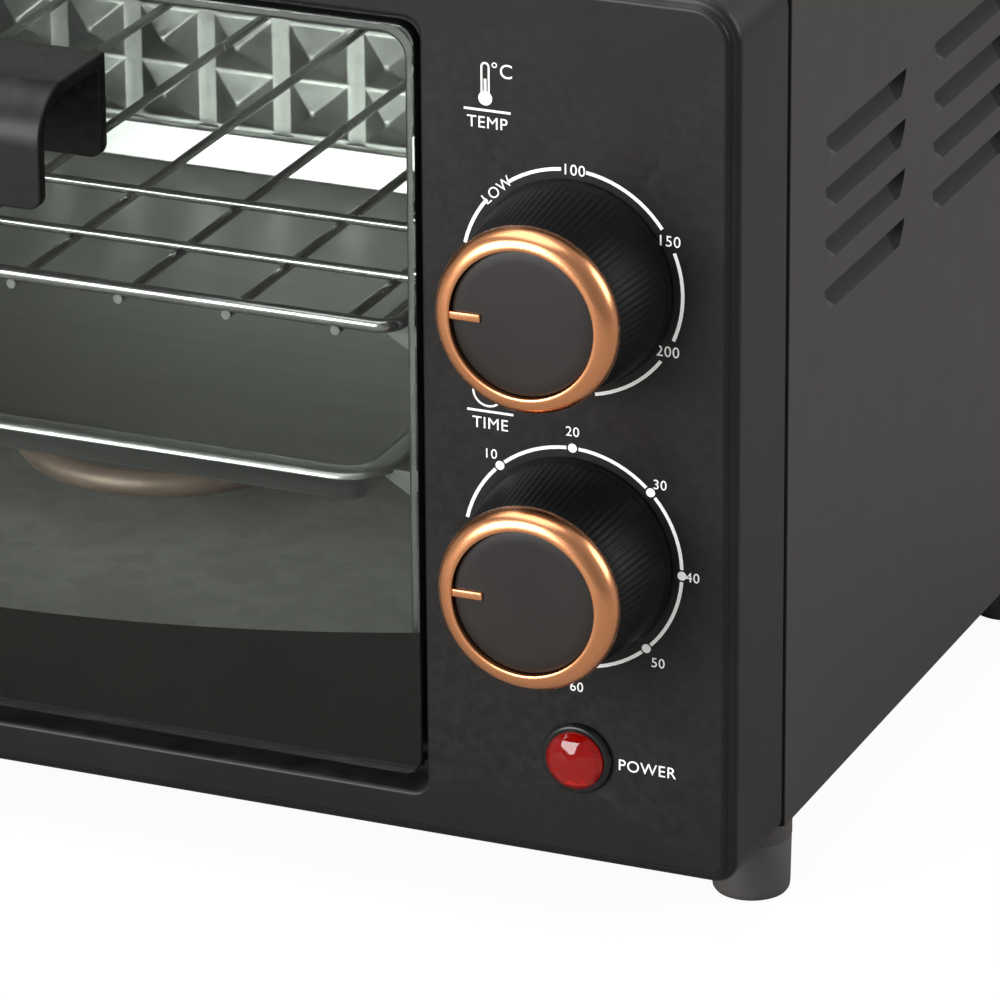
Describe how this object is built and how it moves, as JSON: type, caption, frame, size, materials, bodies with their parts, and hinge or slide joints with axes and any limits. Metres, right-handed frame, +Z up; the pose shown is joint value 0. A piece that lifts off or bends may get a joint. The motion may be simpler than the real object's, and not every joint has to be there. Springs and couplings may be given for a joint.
{
  "type": "toaster oven",
  "caption": "Small countertop toaster oven with a drop-down glass door, hook handle, temperature and time knobs, indicator lamp, wire rack and tray, louvred cover on round feet.",
  "frame": {"origin": "on the table, under the middle of the whole oven's box", "axes": "+X to the user's right along the width, -Y towards the user (door and knobs), +Z up"},
  "size_m": [0.34, 0.274, 0.2132],
  "materials": {
    "enamel_black": "satin black paint, fine orange peel",
    "cover_black": "matt black textured paint",
    "galvanised": "galvanised sheet, dull spangle",
    "chrome_wire": "bright chrome",
    "tray_steel": "drawn sheet, faint draw lines",
    "heater_sheath": "heat-tinted steel",
    "ceramic": "unglazed",
    "steel": "zinc plated",
    "glass": "clear toughened glass, faint green-grey",
    "handle_black": "satin moulded",
    "knob_black": "fine ribs, satin",
    "copper_plate": "satin copper-coloured plate",
    "face_black": "satin",
    "rubber_black": "matt",
    "foot_black": "satin moulded",
    "phenolic": "dark moulded",
    "red_gem": "clear red, gem cut",
    "bulb_glass": "clear",
    "lead_sleeve": "woven glass sleeve"
  },
  "bodies": {
    "housing": {"front_frame": "enamel_black", "cover": "cover_black", "rear_panel": "cover_black", "bottom_plate": "galvanised", "foot_front_left": "foot_black", "foot_front_right": "foot_black", "foot_rear_left": "foot_black", "foot_rear_right": "foot_black", "foot_screws": "steel", "rear_screws": "steel", "cord_gland": "rubber_black", "cavity_mouth": "galvanised", "cavity_wall_left": "galvanised", "cavity_wall_right": "galvanised", "cavity_roof": "galvanised", "cavity_floor": "galvanised", "cavity_back": "galvanised", "lower_heater": "heater_sheath", "upper_heater": "heater_sheath", "heater_bushes": "ceramic", "heater_tabs": "steel", "thermostat": "phenolic", "timer": "steel", "timer_bell": "steel", "control_screws": "steel", "lamp_sleeve": "handle_black", "lamp_lens": "red_gem", "lamp_bulb": "bulb_glass", "wiring": "lead_sleeve"},
    "door": {"door_glass": "glass", "handle": "handle_black", "handle_screws": "steel", "handle_washers": "rubber_black", "hinge_bar": "enamel_black", "hinge_pin_left": "steel", "hinge_pin_right": "steel"},
    "temp_control": {"temp_knob": "knob_black", "temp_knob_trim": "copper_plate", "temp_knob_face": "face_black", "temp_shaft": "steel"},
    "time_control": {"time_knob": "knob_black", "time_knob_trim": "copper_plate", "time_knob_face": "face_black", "time_shaft": "steel"},
    "rack": {"wire_rack": "chrome_wire"},
    "tray": {"baking_tray": "tray_steel"}
  },
  "joints": [
    {"name": "door_hinge", "type": "hinge", "parent": "housing", "child": "door", "pos_m": [-0.0263, -0.0987, 0.0353], "axis": [1, 0, 0], "range_deg": [0, 85]},
    {"name": "temp_knob_turn", "type": "hinge", "parent": "housing", "child": "temp_control", "pos_m": [0.1337, -0.105, 0.1487], "axis": [0, 1, 0], "range_deg": [0, 255]},
    {"name": "time_knob_turn", "type": "hinge", "parent": "housing", "child": "time_control", "pos_m": [0.1337, -0.105, 0.0875], "axis": [0, 1, 0], "range_deg": [0, 265]},
    {"name": "rack_slide", "type": "slide", "parent": "housing", "child": "rack", "axis": [0, -1, 0], "range_m": [0, 0.1]},
    {"name": "tray_slide", "type": "slide", "parent": "housing", "child": "tray", "axis": [0, -1, 0], "range_m": [0, 0.07]}
  ],
  "couplings": [
    {"joint": "rack_slide", "follows": "door_hinge", "m_per_rad": 0.0636},
    {"joint": "tray_slide", "follows": "door_hinge", "m_per_rad": 0.045}
  ]
}
